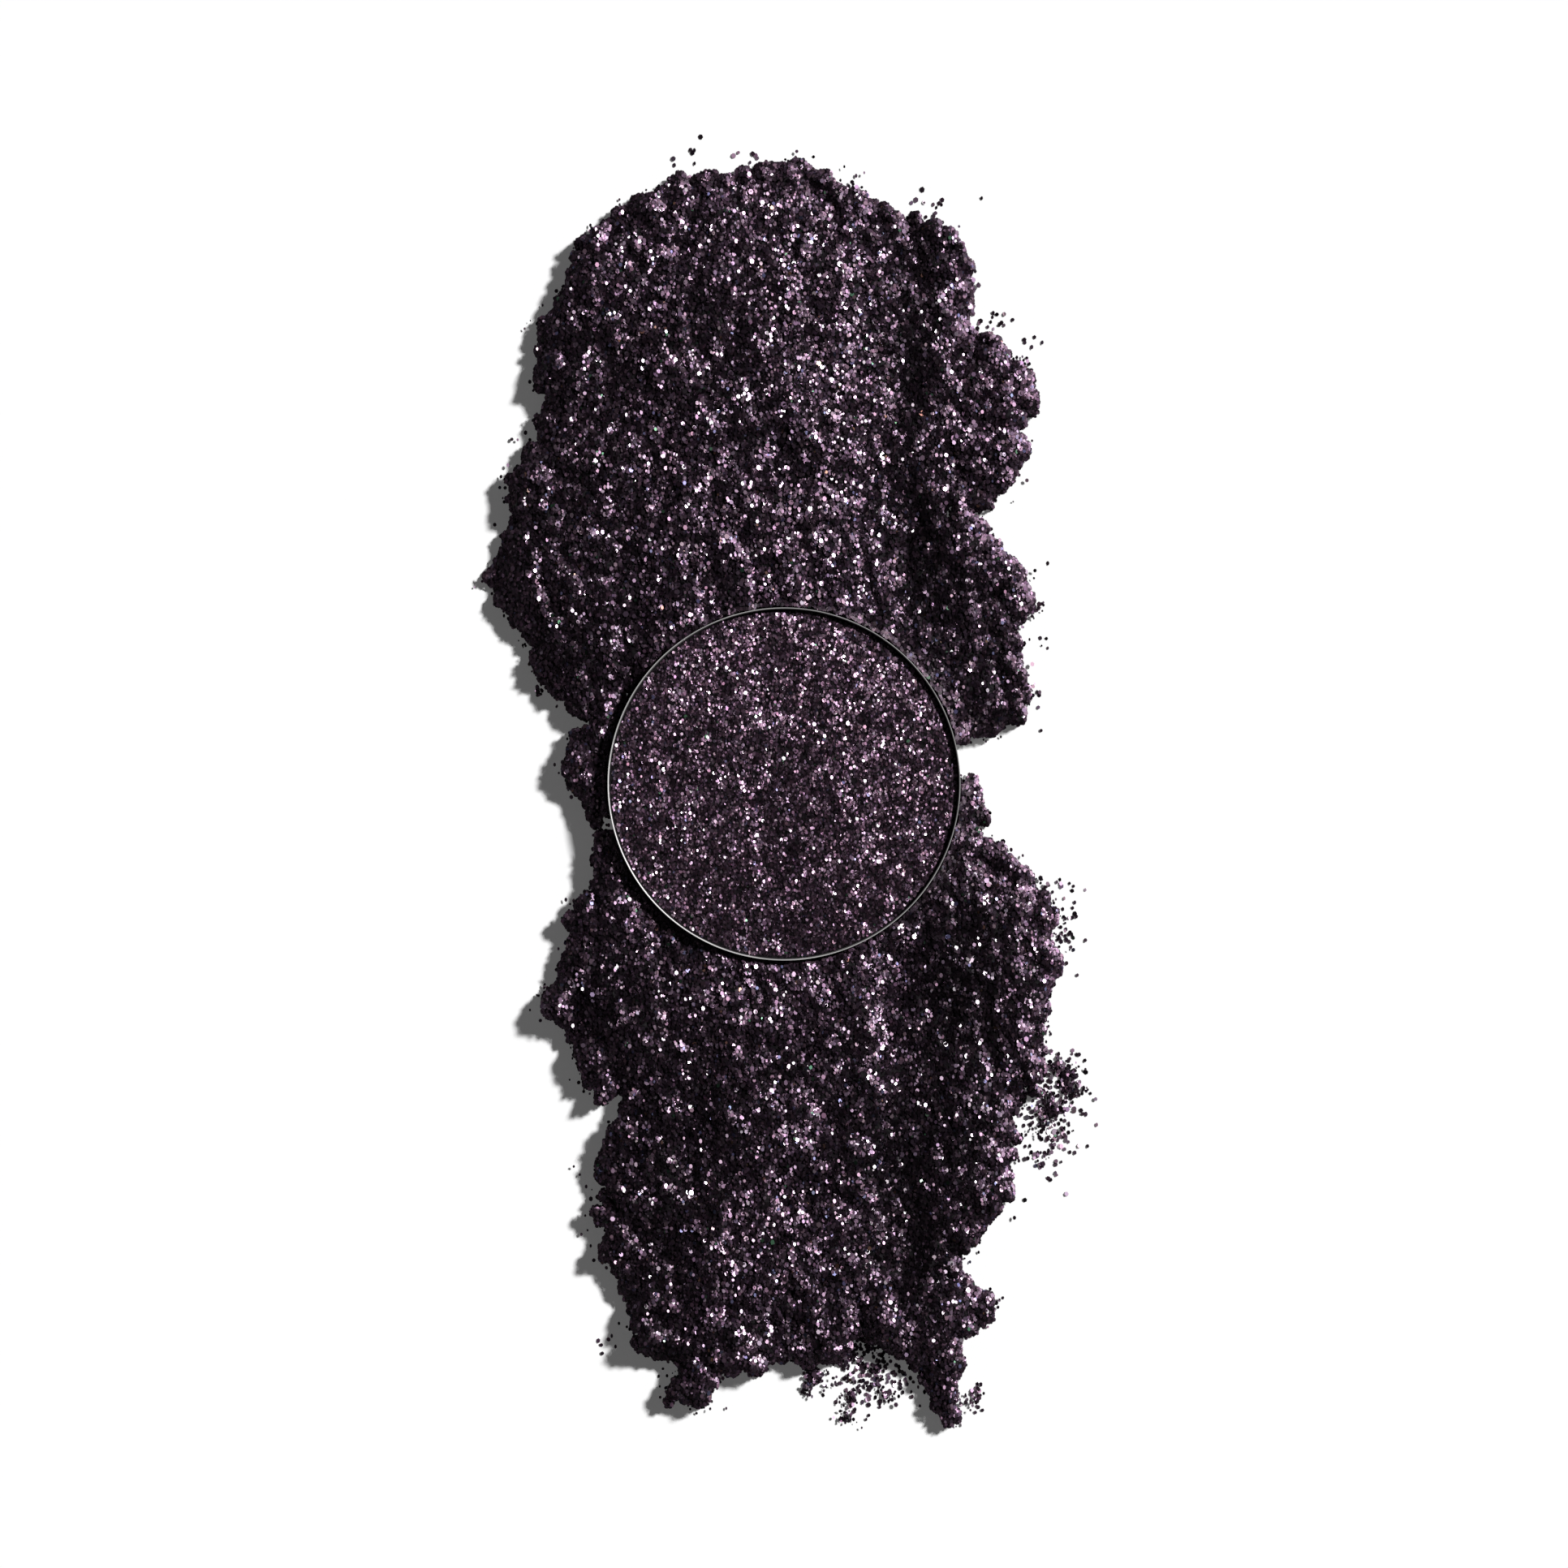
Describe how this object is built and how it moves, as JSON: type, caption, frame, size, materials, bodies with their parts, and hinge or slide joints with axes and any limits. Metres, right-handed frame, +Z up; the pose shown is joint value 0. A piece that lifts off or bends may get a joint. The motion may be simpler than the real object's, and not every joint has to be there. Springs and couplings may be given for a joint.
{
  "type": "pressed glitter eyeshadow pan",
  "caption": "Round tinplate refill pan of pressed purple glitter eyeshadow, lying loose in a long crushed spread of the same glitter and lifting out of it.",
  "frame": {"origin": "on the pan's axis, at the level of the surface that the spread lies on", "axes": "+Z up along the pan's axis, +Y along the spread's length towards its broad rounded end, +X to the right seen from above"},
  "size_m": [0.0451, 0.0946, 0.004],
  "materials": {
    "tinplate": "bright drawn tinplate",
    "pressed_glitter": "pressed metallic glitter, dark lilac",
    "crushed_glitter": "loose metallic hexagonal glitter, dark lilac with bright sparkles"
  },
  "bodies": {
    "crushed_spread": {"pan_bed": "crushed_glitter", "upper_stroke": "crushed_glitter", "lower_stroke": "crushed_glitter", "upper_left_lobe": "crushed_glitter", "upper_right_lobe": "crushed_glitter", "middle_right_lobe": "crushed_glitter", "lower_left_lobe": "crushed_glitter", "lower_right_lobe": "crushed_glitter", "left_clump": "crushed_glitter", "right_clump": "crushed_glitter", "bottom_right_lobe": "crushed_glitter", "bottom_right_finger": "crushed_glitter", "bottom_left_finger": "crushed_glitter", "right_crumbs": "crushed_glitter", "bottom_crumbs": "crushed_glitter", "loose_flakes": "crushed_glitter"},
    "pan": {"pan_shell": "tinplate", "pressed_cake": "pressed_glitter"}
  },
  "joints": [
    {"name": "pan_lift", "type": "slide", "parent": "crushed_spread", "child": "pan", "axis": [0, 0, 1], "range_m": [0, 0.03]}
  ]
}
